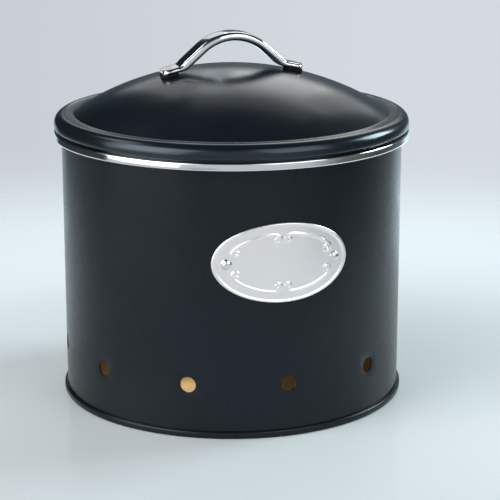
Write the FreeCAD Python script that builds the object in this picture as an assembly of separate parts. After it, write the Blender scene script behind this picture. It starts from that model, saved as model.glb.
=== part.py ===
"""Round vented storage canister with a lift-off domed lid. Millimetres, +Z up, front at -Y.

The origin is the centre of the base, on the surface that the canister stands on.
"""
import FreeCAD, Part
import math
import os

# Sheet thicknesses
body_sheet = 0.8
base_sheet = 0.8
hoop_sheet = 0.8
lid_sheet = 0.8
collar_sheet = 0.8
plate_sheet = 0.8

# Clearances
seat_gap = 0.05
lid_rest_gap = 0.2
collar_clearance = 0.75

# Body: outside radius, and the height of the finished mouth
body_radius = 100.0
body_height = 157.9
lap_width = 6.0
lap_thickness = 0.4

# Vents: a ring of holes above the base, turned a little from the front
vent_count = 11
vent_diameter = 9.0
vent_height = 30.7
vent_turn = 2.2

# Base: the floor panel is held up off the ground by the rolled bead round its edge
bead_height = 4.0
bead_round = 1.2
hook_slack = 0.15
panel_lift = 4.0

# Hoop round the mouth
hoop_projection = 4.6
hoop_height = 4.2
hoop_round = 0.9
hoop_leg = 6.5
hoop_lip = 3.4
curl_slack = 0.3

# Lid: rim, flat ledge and dome; the rim stands clear of the hoop and the lip of its hem rests on it
lid_setback = 0.3
rim_gap = 1.6
rim_height = 8.2
rim_shoulder = 5.8
hem_round = 1.2
hem_width = 4.3
ledge_width = 6.5
dome_rise = 26.1
dome_foot_round = 2.0
collar_depth = 8.0
collar_flange = 4.0

# Handle: strap with full-round edges, bent in one plane, thick over the arch and flattened at the feet
handle_length = 85.0
handle_width = 14.6
handle_thickness = 5.2
handle_foot_thickness = 3.2
handle_clear_height = 15.4
handle_arch_radius = 28.5
handle_side_angle = 41.0
handle_bend_radius = 9.0
handle_bend_sections = 5
handle_corner = 4.0
handle_rivet_inset = 5.0
pad_thickness = 1.5
pad_length = 9.6
pad_width = 13.2
pad_corner = 3.0
handle_rivet_diameter = 3.6
handle_rivet_head = 6.0
handle_rivet_tail_height = 1.6

# Plate: length along the curve, height, pressed border line and its gaps
plate_length = 80.0
plate_height = 45.0
plate_centre_height = 101.0
plate_edge_width = 1.6
plate_edge_lift = 0.6
border_inset = 5.0
border_width = 1.8
border_lift = 0.5
border_gap = 9.0
plate_rivet_inset = 8.7
plate_rivet_diameter = 3.0
plate_rivet_head = 6.3
plate_rivet_head_height = 1.7
plate_rivet_tail = 5.0
plate_rivet_tail_height = 1.2

# Worked out from the sizes above
Z_AXIS = FreeCAD.Vector(0, 0, 1)
ORIGIN = FreeCAD.Vector(0, 0, 0)
body_inner = body_radius - body_sheet
hook_outer = body_radius + hook_slack + body_sheet
bead_radius = hook_outer + seat_gap + base_sheet
hoop_radius = body_radius + hoop_projection
hoop_bottom = body_height - hoop_height
mouth_radius = body_inner - seat_gap - hoop_sheet
lid_radius = hoop_radius - lid_setback
hem_bottom = body_height + rim_gap
lip_bottom = body_height + lid_rest_gap
ledge_top = hem_bottom + rim_height
shoulder = min(rim_shoulder, rim_height - hem_round - lid_sheet)
ledge_outer = lid_radius - shoulder
dome_foot = ledge_outer - ledge_width
dome_radius = (dome_foot ** 2 + dome_rise ** 2) / (2 * dome_rise)
dome_centre = ledge_top + dome_rise - dome_radius
collar_outer = mouth_radius - collar_clearance
handle_rivet_reach = handle_length / 2 - handle_rivet_inset
rivet_tilt = math.asin(handle_rivet_reach / dome_radius)
pad_seat = dome_radius + seat_gap
foot_seat = pad_seat + pad_thickness
handle_apex = dome_centre + dome_radius + handle_clear_height + handle_thickness / 2
plate_seat = body_radius + seat_gap
plate_face = plate_seat + plate_sheet
plate_rivet_angle = (plate_length / 2 - plate_rivet_inset) / body_radius
inside_reach = 2 * body_radius


def at(radius, height):
    """A point of a turned profile."""
    return FreeCAD.Vector(radius, 0, height)


def on_arc(centre, radius, angle):
    """The point of a circle in the profile plane, with the angle measured up from the radius."""
    return centre + FreeCAD.Vector(radius * math.cos(angle), 0, radius * math.sin(angle))


def outline(start, steps):
    """A closed face from a start point and steps: a point is a line, a pair is an arc's middle and end."""
    edges = []
    here = start
    for step in steps + [start]:
        if isinstance(step, tuple):
            middle, end = step
            edges.append(Part.Arc(here, middle, end).toShape())
            here = end
        else:
            edges.append(Part.makeLine(here, step))
            here = step
    return Part.Face(Part.Wire(edges))


def turned(start, steps):
    """A solid of revolution about the canister's axis."""
    return outline(start, steps).revolve(ORIGIN, Z_AXIS, 360)


def corner_arc(centre, radius, first, last):
    """The middle and end of a rounded corner, from one angle in degrees to another."""
    middle = on_arc(centre, radius, math.radians((first + last) / 2))
    return middle, on_arc(centre, radius, math.radians(last))


def cap_middle(radius, height):
    """Half way up a round cap: the distance from its axis, and the drop from its top."""
    sphere = (radius ** 2 + height ** 2) / (2 * height)
    half_angle = math.atan2(radius, sphere - height) / 2
    return sphere * math.sin(half_angle), sphere * (1 - math.cos(half_angle))


def radial_cylinder(diameter, angle, height):
    """A cutter along the radius at an angle from the front, about the axis."""
    direction = FreeCAD.Vector(math.sin(angle), -math.cos(angle), 0)
    return Part.makeCylinder(diameter / 2, inside_reach, FreeCAD.Vector(0, 0, height), direction)


def facing_front(shape, angle, height):
    """Stand a shape built along +Z on the radius at an angle from the front."""
    shape.rotate(ORIGIN, FreeCAD.Vector(1, 0, 0), 90)
    shape.rotate(ORIGIN, Z_AXIS, math.degrees(angle))
    shape.translate(FreeCAD.Vector(0, 0, height))
    return shape


def on_dome(shape, side):
    """Move a shape built along +Z from the dome's centre to the rivet place on one side."""
    shape.rotate(ORIGIN, FreeCAD.Vector(0, 1, 0), side * math.degrees(rivet_tilt))
    shape.translate(FreeCAD.Vector(0, 0, dome_centre))
    return shape


def body_shell():
    """Rolled cylinder: hook at the foot, curl at the mouth, lap seam at the back, ring of vents."""
    hook_top = bead_height - base_sheet
    flange_top = base_sheet + body_sheet
    curl_top = body_height - hoop_sheet
    curl_under = curl_top - body_sheet
    curl_outer = hoop_radius - hoop_sheet - seat_gap
    curl_inner = curl_outer - body_sheet
    curl_end = hoop_bottom + hoop_sheet + curl_slack
    shell = turned(at(body_inner, base_sheet), [
        at(hook_outer, base_sheet),
        at(hook_outer, hook_top),
        at(hook_outer - body_sheet, hook_top),
        at(hook_outer - body_sheet, flange_top),
        at(body_radius, flange_top),
        at(body_radius, curl_under),
        at(curl_inner, curl_under),
        at(curl_inner, curl_end),
        at(curl_outer, curl_end),
        at(curl_outer, curl_top),
        at(body_inner, curl_top),
    ])
    lap_angle = math.degrees(lap_width / body_radius)
    lap_root = body_radius - body_sheet / 2
    lap_foot = bead_height + curl_slack
    lap_top = hoop_bottom - curl_slack
    lap = outline(at(lap_root, lap_foot), [
        at(body_radius + lap_thickness, lap_foot),
        at(body_radius + lap_thickness, lap_top),
        at(lap_root, lap_top),
    ]).revolve(ORIGIN, Z_AXIS, lap_angle)
    lap.rotate(ORIGIN, Z_AXIS, 90 - lap_angle / 2)
    shell = shell.fuse(lap).removeSplitter()
    first_vent = math.radians(vent_turn)
    for place in range(vent_count):
        angle = first_vent + 2 * math.pi * place / vent_count
        shell = shell.cut(radial_cylinder(vent_diameter, angle, vent_height))
    for side in (-1, 1):
        hole = plate_rivet_diameter + 2 * seat_gap
        shell = shell.cut(radial_cylinder(hole, side * plate_rivet_angle, plate_centre_height))
    return shell


def base_pan():
    """Floor panel with a turned-down wall, rolled outwards round the shell's hook as a bead."""
    wall_outer = body_inner - seat_gap
    wall_inner = wall_outer - base_sheet
    panel_top = panel_lift + base_sheet
    rolled = min(bead_round, 1.5 * base_sheet, bead_height / 2 - base_sheet / 4)
    lip_inner = body_radius + 2 * seat_gap
    low = at(bead_radius - rolled, rolled)
    high = at(bead_radius - rolled, bead_height - rolled)
    return turned(at(0, panel_lift), [
        at(wall_inner, panel_lift),
        at(wall_inner, 0),
        at(bead_radius - rolled, 0),
        corner_arc(low, rolled, -90, 0),
        at(bead_radius, bead_height - rolled),
        corner_arc(high, rolled, 0, 90),
        at(lip_inner, bead_height),
        at(lip_inner, bead_height - base_sheet),
        at(bead_radius - base_sheet, bead_height - base_sheet),
        at(bead_radius - base_sheet, base_sheet),
        at(wall_outer, base_sheet),
        at(wall_outer, panel_top),
        at(0, panel_top),
    ])


def rim_hoop():
    """Bright hoop: a leg inside the mouth, a flat top, a rounded face and a lip under the curl."""
    rounded = min(hoop_round, 3 * hoop_sheet, hoop_height / 2 - hoop_sheet / 4)
    leg_outer = mouth_radius + hoop_sheet
    leg_bottom = body_height - hoop_leg
    face_inner = hoop_radius - hoop_sheet
    low = at(hoop_radius - rounded, hoop_bottom + rounded)
    high = at(hoop_radius - rounded, body_height - rounded)
    return turned(at(mouth_radius, leg_bottom), [
        at(leg_outer, leg_bottom),
        at(leg_outer, body_height - hoop_sheet),
        at(face_inner, body_height - hoop_sheet),
        at(face_inner, hoop_bottom + hoop_sheet),
        at(hoop_radius - hoop_lip, hoop_bottom + hoop_sheet),
        at(hoop_radius - hoop_lip, hoop_bottom),
        at(hoop_radius - rounded, hoop_bottom),
        corner_arc(low, rounded, -90, 0),
        at(hoop_radius, body_height - rounded),
        corner_arc(high, rounded, 0, 90),
        at(mouth_radius, body_height),
    ])


def lid_shell():
    """Dome on a flat ledge, with a rounded rim that turns under in a hem and ends in a resting lip."""
    ledge_under = ledge_top - lid_sheet
    wall_inner = lid_radius - lid_sheet
    hem_inner = lid_radius - hem_width
    rim_centre = at(ledge_outer, ledge_top - shoulder)
    hem_centre = at(lid_radius - hem_round, hem_bottom + hem_round)
    middle = at(0, dome_centre)
    foot_height = ledge_top + dome_foot_round - dome_centre
    foot_reach = math.sqrt((dome_radius + dome_foot_round) ** 2 - foot_height ** 2)
    foot_centre = at(foot_reach, ledge_top + dome_foot_round)
    rise = math.atan2(foot_height, foot_reach)
    down = math.degrees(rise) + 180
    inner_dome = dome_radius - lid_sheet
    inner_foot = dome_foot_round + lid_sheet
    crown = (rise + math.pi / 2) / 2
    top = on_arc(middle, dome_radius, math.pi / 2)
    shell = turned(top, [
        (on_arc(middle, dome_radius, crown), on_arc(middle, dome_radius, rise)),
        corner_arc(foot_centre, dome_foot_round, down, 270),
        at(ledge_outer, ledge_top),
        corner_arc(rim_centre, shoulder, 90, 0),
        at(lid_radius, hem_bottom + hem_round),
        corner_arc(hem_centre, hem_round, 0, -90),
        at(hem_inner + lid_sheet, hem_bottom),
        at(hem_inner + lid_sheet, lip_bottom),
        at(hem_inner, lip_bottom),
        at(hem_inner, hem_bottom + lid_sheet),
        at(wall_inner, hem_bottom + lid_sheet),
        at(wall_inner, ledge_top - shoulder),
        corner_arc(rim_centre, shoulder - lid_sheet, 0, 90),
        at(foot_reach, ledge_under),
        corner_arc(foot_centre, inner_foot, 270, down),
        (on_arc(middle, inner_dome, crown), on_arc(middle, inner_dome, math.pi / 2)),
    ])
    for side in (-1, 1):
        shell = shell.cut(on_dome(handle_rivet(seat_gap), side))
    return shell


def lid_collar():
    """Ring that drops into the mouth, with a flange under the lid's ledge."""
    flange_top = ledge_top - lid_sheet
    flange_under = flange_top - collar_sheet
    collar_bottom = body_height - collar_depth
    collar_inner = collar_outer - collar_sheet
    flange_inner = collar_outer - collar_flange
    return turned(at(collar_inner, collar_bottom), [
        at(collar_outer, collar_bottom),
        at(collar_outer, flange_top),
        at(flange_inner, flange_top),
        at(flange_inner, flange_under),
        at(collar_inner, flange_under),
    ])


def handle_line():
    """The right half of the strap's centre line: ends of the arch, the bend and the foot, and the bend's centre."""
    side_angle = math.radians(handle_side_angle)
    arch_end = at(handle_arch_radius * math.sin(side_angle),
                  handle_apex - handle_arch_radius * (1 - math.cos(side_angle)))
    along_side = FreeCAD.Vector(math.cos(side_angle), 0, -math.sin(side_angle))
    along_foot = FreeCAD.Vector(math.cos(rivet_tilt), 0, -math.sin(rivet_tilt))
    foot_line = foot_seat + handle_foot_thickness / 2
    foot_point = at(foot_line * math.sin(rivet_tilt), dome_centre + foot_line * math.cos(rivet_tilt))
    to_foot = foot_point - arch_end
    turn = along_side.x * along_foot.z - along_side.z * along_foot.x
    run = (to_foot.x * along_foot.z - to_foot.z * along_foot.x) / turn
    corner = arch_end + along_side * run
    tangent = handle_bend_radius * math.tan((side_angle - rivet_tilt) / 2)
    bend_start = corner - along_side * tangent
    bend_end = corner + along_foot * tangent
    bend_centre = bend_start + strap_up(side_angle) * handle_bend_radius
    foot_end = bend_end + along_foot * ((handle_length / 2 - bend_end.x) / along_foot.x)
    return arch_end, bend_start, bend_end, foot_end, bend_centre


def strap_up(slope):
    """The strap's outward direction where it falls to the right with a slope."""
    return FreeCAD.Vector(math.sin(slope), 0, math.cos(slope))


def rounded_plan(length, width, corner, low, high):
    """An upright block with rounded corners, centred on the axis."""
    block = Part.makeBox(length, width, high - low, FreeCAD.Vector(-length / 2, -width / 2, low))
    uprights = [edge for edge in block.Edges if abs(edge.tangentAt(edge.FirstParameter).z) > 0.5]
    return block.makeFillet(min(corner, 0.45 * width, 0.45 * length), uprights)


def strap_section(centre, slope, thickness):
    """The strap's section across a point of its centre line: flat faces and full-round edges."""
    across = FreeCAD.Vector(0, 1, 0)
    up = strap_up(slope) * (thickness / 2)
    flat = across * (handle_width / 2 - thickness / 2)
    edge = across * (handle_width / 2)
    return Part.Wire([
        Part.makeLine(centre + up - flat, centre + up + flat),
        Part.Arc(centre + up + flat, centre + edge, centre - up + flat).toShape(),
        Part.makeLine(centre - up + flat, centre - up - flat),
        Part.Arc(centre - up - flat, centre - edge, centre + up - flat).toShape(),
    ])


def handle_side(bend_end, foot_end, bend_centre):
    """The right bend, flattened as it turns, and the flat foot after it."""
    side_angle = math.radians(handle_side_angle)
    sections = []
    for step in range(handle_bend_sections):
        share = step / (handle_bend_sections - 1)
        slope = side_angle + (rivet_tilt - side_angle) * share
        thickness = handle_thickness + (handle_foot_thickness - handle_thickness) * share
        sections.append(strap_section(bend_centre - strap_up(slope) * handle_bend_radius, slope, thickness))
    foot = Part.Face(strap_section(bend_end, rivet_tilt, handle_foot_thickness)).extrude(foot_end - bend_end)
    return [Part.makeLoft(sections, True, False), foot]


def lid_handle():
    """Thick arch, bends and flattened feet in one piece, with round tips and countersunk holes."""
    arch_end, bend_start, bend_end, foot_end, bend_centre = handle_line()
    arch_start = FreeCAD.Vector(-arch_end.x, 0, arch_end.z)
    leg_start = FreeCAD.Vector(-bend_start.x, 0, bend_start.z)
    path = Part.Wire([
        Part.makeLine(leg_start, arch_start),
        Part.Arc(arch_start, at(0, handle_apex), arch_end).toShape(),
        Part.makeLine(arch_end, bend_start),
    ])
    section = strap_section(leg_start, -math.radians(handle_side_angle), handle_thickness)
    arch = path.makePipeShell([section], True, False)
    right = handle_side(bend_end, foot_end, bend_centre)
    left = [piece.mirror(ORIGIN, FreeCAD.Vector(1, 0, 0)) for piece in right]
    strap = arch.fuse(right + left).removeSplitter()
    tips = rounded_plan(handle_length, handle_width + seat_gap, handle_corner, ledge_top, 2 * body_height)
    strap = strap.common(tips)
    for side in (-1, 1):
        strap = strap.cut(on_dome(handle_rivet(seat_gap), side))
    return strap


def handle_pads():
    """Pads that follow the dome below and the flat foot above."""
    pads = []
    for side in (-1, 1):
        pad = rounded_plan(pad_length, pad_width, pad_corner, dome_radius - pad_thickness, foot_seat)
        pad = pad.cut(Part.makeSphere(pad_seat))
        pad = on_dome(pad, side)
        pads.append(pad.cut(on_dome(handle_rivet(seat_gap), side)))
    return Part.makeCompound(pads)


def handle_rivet(growth):
    """Flush countersunk rivet along +Z from the dome's centre; growth widens it into its own hole."""
    shank = handle_rivet_diameter / 2 + growth
    head = handle_rivet_head / 2 + growth
    head_top = foot_seat + handle_foot_thickness
    head_bottom = head_top - (head - shank)
    tail_base = dome_radius - lid_sheet - seat_gap
    tail_end = tail_base - handle_rivet_tail_height
    if growth > 0:
        profile = outline(at(0, tail_end), [
            at(shank, tail_end),
            at(shank, head_bottom),
            at(head, head_top),
            at(head, head_top + handle_thickness),
            at(0, head_top + handle_thickness),
        ])
    else:
        out, drop = cap_middle(head, handle_rivet_tail_height)
        profile = outline(at(0, tail_end), [
            (at(out, tail_end + drop), at(head, tail_base)),
            at(shank, tail_base),
            at(shank, head_bottom),
            at(head, head_top),
            at(0, head_top),
        ])
    return profile.revolve(ORIGIN, Z_AXIS, 360)


def handle_rivets():
    """Both rivets of the handle."""
    return Part.makeCompound([on_dome(handle_rivet(0), side) for side in (-1, 1)])


def oval_prism(inset):
    """The plate's oval, set in from its edge, as a prism along the view from the front."""
    half_angle = (plate_length / 2 - inset) / body_radius
    half_width = body_radius * math.sin(half_angle)
    half_height = plate_height / 2 - inset
    long_way = max(half_width, half_height)
    short_way = min(half_width, half_height)
    ellipse = Part.Ellipse(ORIGIN, long_way, short_way).toShape()
    face = Part.Face(Part.Wire([ellipse]))
    if half_height > half_width:
        face.rotate(ORIGIN, Z_AXIS, 90)
    prism = face.extrude(FreeCAD.Vector(0, 0, inside_reach))
    prism.rotate(ORIGIN, FreeCAD.Vector(1, 0, 0), 90)
    prism.translate(FreeCAD.Vector(0, 0, plate_centre_height))
    return prism


def curved_layer(inner, outer):
    """A layer of the plate between two radii."""
    low = plate_centre_height - plate_height
    tube = Part.makeCylinder(outer, 2 * plate_height, FreeCAD.Vector(0, 0, low))
    return tube.cut(Part.makeCylinder(inner, 2 * plate_height, FreeCAD.Vector(0, 0, low)))


def name_plate():
    """Curved oval plate with a raised edge and a pressed border line, open at the rivets and the middle."""
    sheet = curved_layer(plate_seat, plate_face).common(oval_prism(0))
    edge_ring = oval_prism(0).cut(oval_prism(plate_edge_width))
    edge = curved_layer(plate_seat, plate_face + plate_edge_lift).common(edge_ring)
    border_ring = oval_prism(border_inset).cut(oval_prism(border_inset + border_width))
    border = curved_layer(plate_seat, plate_face + border_lift).common(border_ring)
    middle_reach = plate_height / 2 - border_inset - border_width / 2
    for side in (-1, 1):
        border = border.cut(radial_cylinder(border_gap, 0, plate_centre_height + side * middle_reach))
        border = border.cut(radial_cylinder(border_gap, side * plate_rivet_angle, plate_centre_height))
    plate = sheet.fuse([edge, border]).removeSplitter()
    for side in (-1, 1):
        hole = plate_rivet_diameter + 2 * seat_gap
        plate = plate.cut(radial_cylinder(hole, side * plate_rivet_angle, plate_centre_height))
    return plate


def plate_rivet():
    """Domed rivet along +Z, measured from the canister's axis."""
    shank = plate_rivet_diameter / 2
    head = plate_rivet_head / 2
    tail = plate_rivet_tail / 2
    head_base = plate_face + seat_gap
    tail_base = math.sqrt((body_inner - seat_gap) ** 2 - tail ** 2)
    head_top = head_base + plate_rivet_head_height
    tail_end = tail_base - plate_rivet_tail_height
    tail_out, tail_drop = cap_middle(tail, plate_rivet_tail_height)
    head_out, head_drop = cap_middle(head, plate_rivet_head_height)
    return outline(at(0, tail_end), [
        (at(tail_out, tail_end + tail_drop), at(tail, tail_base)),
        at(shank, tail_base),
        at(shank, head_base),
        at(head, head_base),
        (at(head_out, head_top - head_drop), at(0, head_top)),
    ]).revolve(ORIGIN, Z_AXIS, 360)


def plate_rivets():
    """Both rivets of the plate."""
    sides = (-plate_rivet_angle, plate_rivet_angle)
    return Part.makeCompound([facing_front(plate_rivet(), angle, plate_centre_height) for angle in sides])


SUB_PARTS = {
    "body_shell": body_shell,
    "base_pan": base_pan,
    "rim_hoop": rim_hoop,
    "name_plate": name_plate,
    "plate_rivets": plate_rivets,
    "lid_shell": lid_shell,
    "lid_collar": lid_collar,
    "handle_pads": handle_pads,
    "lid_handle": lid_handle,
    "handle_rivets": handle_rivets,
}

os.makedirs("parts", exist_ok=True)
for node, make in SUB_PARTS.items():
    shape = make()
    shape.exportStep("parts/" + node + ".step")
    print(node, "solids", len(shape.Solids), "valid", shape.isValid(), "volume", round(shape.Volume, 1))
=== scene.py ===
"""Looks of a vented storage canister: lacquered can, bright hoop, pressed plate and lift-off lid.

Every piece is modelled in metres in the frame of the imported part: +Z up, the plate at -Y.
"""

import logging
import math
from collections.abc import Callable
from dataclasses import dataclass, field
from enum import Enum

import bmesh
import bpy
import numpy as np
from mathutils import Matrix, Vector

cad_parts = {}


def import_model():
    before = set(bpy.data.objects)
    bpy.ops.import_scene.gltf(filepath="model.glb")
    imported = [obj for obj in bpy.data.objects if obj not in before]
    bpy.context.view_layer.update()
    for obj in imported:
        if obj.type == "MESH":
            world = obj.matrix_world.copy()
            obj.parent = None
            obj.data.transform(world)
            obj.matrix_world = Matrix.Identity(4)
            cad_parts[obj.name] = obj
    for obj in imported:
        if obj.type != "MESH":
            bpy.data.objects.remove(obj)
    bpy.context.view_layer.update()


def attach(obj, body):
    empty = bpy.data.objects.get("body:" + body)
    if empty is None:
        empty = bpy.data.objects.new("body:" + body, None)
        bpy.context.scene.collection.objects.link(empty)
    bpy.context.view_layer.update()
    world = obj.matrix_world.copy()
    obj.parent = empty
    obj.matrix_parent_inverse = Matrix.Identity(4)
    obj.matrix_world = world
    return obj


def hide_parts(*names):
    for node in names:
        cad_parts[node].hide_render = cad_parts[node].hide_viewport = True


LOG = logging.getLogger("canister")
MM = 0.001
TURN = 2 * math.pi
Point = tuple[float, float]
Place = tuple[float, float, float]
Colour = tuple[float, float, float]
WHITE: Colour = (1.0, 1.0, 1.0)
WARM: Colour = (1.0, 0.96, 0.93)
COOL: Colour = (0.80, 0.95, 1.0)


class Body(Enum):
    """The two bodies that pieces ride on."""

    CANISTER = "canister"
    LID = "lid"


class Bench:
    """Modelling steps that several pieces share."""

    @staticmethod
    def clear() -> None:
        """Leave edit mode and deselect everything."""
        if bpy.context.object is not None and bpy.context.object.mode != "OBJECT":
            bpy.ops.object.mode_set(mode="OBJECT")
        bpy.ops.object.select_all(action="DESELECT")

    @staticmethod
    def edit() -> None:
        """Enter edit mode on the active piece with nothing selected."""
        bpy.ops.object.mode_set(mode="EDIT")
        bpy.ops.mesh.select_mode(type="VERT")
        bpy.ops.mesh.select_all(action="DESELECT")

    @staticmethod
    def close(name: str, smooth_angle: float = 32.0) -> bpy.types.Object:
        """Leave edit mode, name the active piece, apply its place and smooth it.

        Args:
            name: the piece's name.
            smooth_angle: edges flatter than this many degrees are shaded smooth.

        Returns:
            The finished object.
        """
        if bpy.context.object.mode != "OBJECT":
            bpy.ops.object.mode_set(mode="OBJECT")
        piece = bpy.context.object
        piece.name = name
        piece.data.name = name
        bpy.ops.object.transform_apply(location=True, rotation=True, scale=True)
        bpy.ops.object.shade_smooth_by_angle(angle=math.radians(smooth_angle))
        return piece

    @staticmethod
    def tidy() -> None:
        """Merge doubles and turn all faces outwards, in edit mode."""
        bpy.ops.mesh.select_all(action="SELECT")
        bpy.ops.mesh.remove_doubles(threshold=0.001 * MM)
        bpy.ops.mesh.normals_make_consistent(inside=False)

    @staticmethod
    def select(kind: str, test: Callable[[Vector], bool]) -> None:
        """Select vertices, edges or faces by their place.

        Args:
            kind: VERT, EDGE or FACE.
            test: says of a centre point whether it is selected.
        """
        bpy.ops.mesh.select_mode(type=kind)
        bpy.ops.mesh.select_all(action="DESELECT")
        mesh = bmesh.from_edit_mesh(bpy.context.object.data)
        for item in {"VERT": mesh.verts, "EDGE": mesh.edges, "FACE": mesh.faces}[kind]:
            places = [item.co] if kind == "VERT" else [vert.co for vert in item.verts]
            if test(sum(places, Vector()) / len(places)):
                item.select_set(True)
        mesh.select_flush_mode()
        bmesh.update_edit_mesh(bpy.context.object.data)

    @staticmethod
    def slots(piece: bpy.types.Object, count: int) -> None:
        """Give a piece empty material slots up to a count."""
        while len(piece.data.materials) < count:
            piece.data.materials.append(None)

    @staticmethod
    def modifier(kind: str, **settings: object) -> None:
        """Add a modifier to the active piece with its settings and apply it.

        Args:
            kind: the modifier's type.
            settings: its properties by name.
        """
        piece = bpy.context.object
        modifier = piece.modifiers.new(kind.lower(), kind)
        for key, value in settings.items():
            setattr(modifier, key, value)
        bpy.ops.object.modifier_apply(modifier=modifier.name)

    @staticmethod
    def turn(name: str, profile: list[Point], steps: int) -> bpy.types.Object:
        """Spin a profile about the canister's axis.

        Args:
            name: the piece's name.
            profile: radius and height of each point; it ends where it starts, or on the axis.
            steps: faces round the axis.

        Returns:
            The turned piece.
        """
        Bench.clear()
        bpy.ops.mesh.primitive_plane_add(size=MM)
        Bench.edit()
        bpy.ops.mesh.select_all(action="SELECT")
        bpy.ops.mesh.merge(type="CENTER")
        radius, height = profile[0]
        bpy.ops.transform.translate(value=(radius, 0, height))
        for there in profile[1:]:
            step = (there[0] - radius, 0, there[1] - height)
            bpy.ops.mesh.extrude_vertices_move(TRANSFORM_OT_translate={"value": step})
            radius, height = there
        bpy.ops.mesh.select_all(action="SELECT")
        bpy.ops.mesh.spin(steps=steps, angle=TURN, center=(0, 0, 0), axis=(0, 0, 1))
        Bench.tidy()
        return Bench.close(name)

    @staticmethod
    def pair(name: str, stand: Callable[[int], tuple[Place, Place]]) -> bpy.types.Object:
        """Copy the active piece to two places, each with its own mesh, and join the pair.

        Args:
            name: the pair's name.
            stand: gives the place and the turn of the left piece for -1 and of the right one for 1.

        Returns:
            The joined pair.
        """
        first = bpy.context.object
        Bench.clear()
        first.select_set(True)
        bpy.ops.object.duplicate(linked=False)
        second = bpy.context.object
        for piece, side in ((first, -1), (second, 1)):
            piece.location, piece.rotation_euler = stand(side)
        first.select_set(True)
        bpy.ops.object.transform_apply(location=True, rotation=True, scale=True)
        bpy.ops.object.join()
        return Bench.close(name)


def arc(centre: Point, radius: float, first: float, last: float, count: int) -> list[Point]:
    """Points of a profile's rounded corner.

    Args:
        centre: the arc's centre, as radius and height.
        radius: the arc's radius.
        first: start angle in degrees, from outwards towards up.
        last: end angle in degrees.
        count: steps along the arc.

    Returns:
        count + 1 points, both ends included.
    """
    angles = [math.radians(first + (last - first) * i / count) for i in range(count + 1)]
    return [(centre[0] + radius * math.cos(a), centre[1] + radius * math.sin(a)) for a in angles]


class Nodes:
    """A node tree under construction, with the few patterns that materials and the world share."""

    def __init__(self, tree: bpy.types.NodeTree) -> None:
        """Start on a tree."""
        self.tree = tree

    def node(self, kind: str, **settings: object) -> bpy.types.Node:
        """Add a node with its properties set."""
        made = self.tree.nodes.new(kind)
        for key, value in settings.items():
            setattr(made, key, value)
        return made

    def link(self, source: bpy.types.NodeSocket, target: bpy.types.NodeSocket) -> None:
        """Join two sockets."""
        self.tree.links.new(source, target)

    def ease(self, value: bpy.types.NodeSocket, span: Point, ends: Point = (0, 1),
             kind: str = "SMOOTHSTEP") -> bpy.types.NodeSocket:
        """Lead a value from one end to another over a span.

        Args:
            value: the socket to read.
            span: where the change starts and stops.
            ends: the results before and after it.
            kind: Blender's name of the transition.

        Returns:
            The result socket.
        """
        step = self.node("ShaderNodeMapRange", interpolation_type=kind)
        for name, number in zip(("From Min", "From Max", "To Min", "To Max"), (*span, *ends)):
            step.inputs[name].default_value = number
        self.link(value, step.inputs["Value"])
        return step.outputs["Result"]

    def blend(self, factor: bpy.types.NodeSocket, first: Colour | bpy.types.NodeSocket,
              second: Colour | bpy.types.NodeSocket) -> bpy.types.NodeSocket:
        """Blend two colours, each plain or from a socket, by a factor."""
        mix = self.node("ShaderNodeMix", data_type="RGBA")
        self.link(factor, mix.inputs["Factor"])
        for name, value in (("A", first), ("B", second)):
            if isinstance(value, bpy.types.NodeSocket):
                self.link(value, mix.inputs[name])
            else:
                mix.inputs[name].default_value = (*value, 1)
        return mix.outputs["Result"]


class Shader(Nodes):
    """A material under construction, with the few patterns that the finishes share."""

    noise_span: Point = (0.3, 0.7)

    def __init__(self, name: str) -> None:
        """Start a material with one principled shader."""
        self.material = bpy.data.materials.new(name)
        self.material.use_nodes = True
        super().__init__(self.material.node_tree)
        self.surface = self.tree.nodes["Principled BSDF"]
        self.place = self.node("ShaderNodeTexCoord").outputs["Object"]

    def noise(self, scale: float, detail: float = 2.0, stretch: Colour = (1, 1, 1)) -> bpy.types.NodeSocket:
        """A noise pattern in object space.

        Args:
            scale: repeats per metre.
            detail: octaves.
            stretch: scale of each axis.

        Returns:
            The factor socket.
        """
        mapping = self.node("ShaderNodeMapping")
        mapping.inputs["Scale"].default_value = stretch
        self.link(self.place, mapping.inputs["Vector"])
        noise = self.node("ShaderNodeTexNoise")
        noise.inputs["Scale"].default_value = scale
        noise.inputs["Detail"].default_value = detail
        self.link(mapping.outputs["Vector"], noise.inputs["Vector"])
        return noise.outputs["Fac"]

    def span(self, factor: bpy.types.NodeSocket, low: float, high: float) -> bpy.types.NodeSocket:
        """Spread a noise factor over a range of values."""
        return self.ease(factor, self.noise_span, (low, high), "LINEAR")

    def bump(self, height: bpy.types.NodeSocket, depth: float) -> None:
        """Drive the surface's normal with a height pattern of a given depth in metres."""
        bump = self.node("ShaderNodeBump")
        bump.inputs["Strength"].default_value = 1.0
        bump.inputs["Distance"].default_value = depth
        self.link(height, bump.inputs["Height"])
        self.link(bump.outputs["Normal"], self.surface.inputs["Normal"])


@dataclass(frozen=True)
class Lacquer:
    """Baked lacquer on steel sheet, with a fine orange-peel skin."""

    name: str
    colour: Colour
    shade: Colour
    roughness: float
    swing: float
    peel: float
    depth: float
    ior: float = 1.5
    sheen: Colour = WHITE

    def build(self) -> bpy.types.Material:
        """Make the material."""
        shader = Shader(self.name)
        shader.link(shader.blend(shader.span(shader.noise(38), 0, 1), self.colour, self.shade),
                    shader.surface.inputs["Base Color"])
        cloud = shader.span(shader.noise(60, 4), self.roughness - self.swing, self.roughness + self.swing)
        shader.link(cloud, shader.surface.inputs["Roughness"])
        shader.bump(shader.noise(self.peel, 3), self.depth)
        shader.surface.inputs["IOR"].default_value = self.ior
        shader.surface.inputs["Specular Tint"].default_value = (*self.sheen, 1)
        return shader.material


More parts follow.
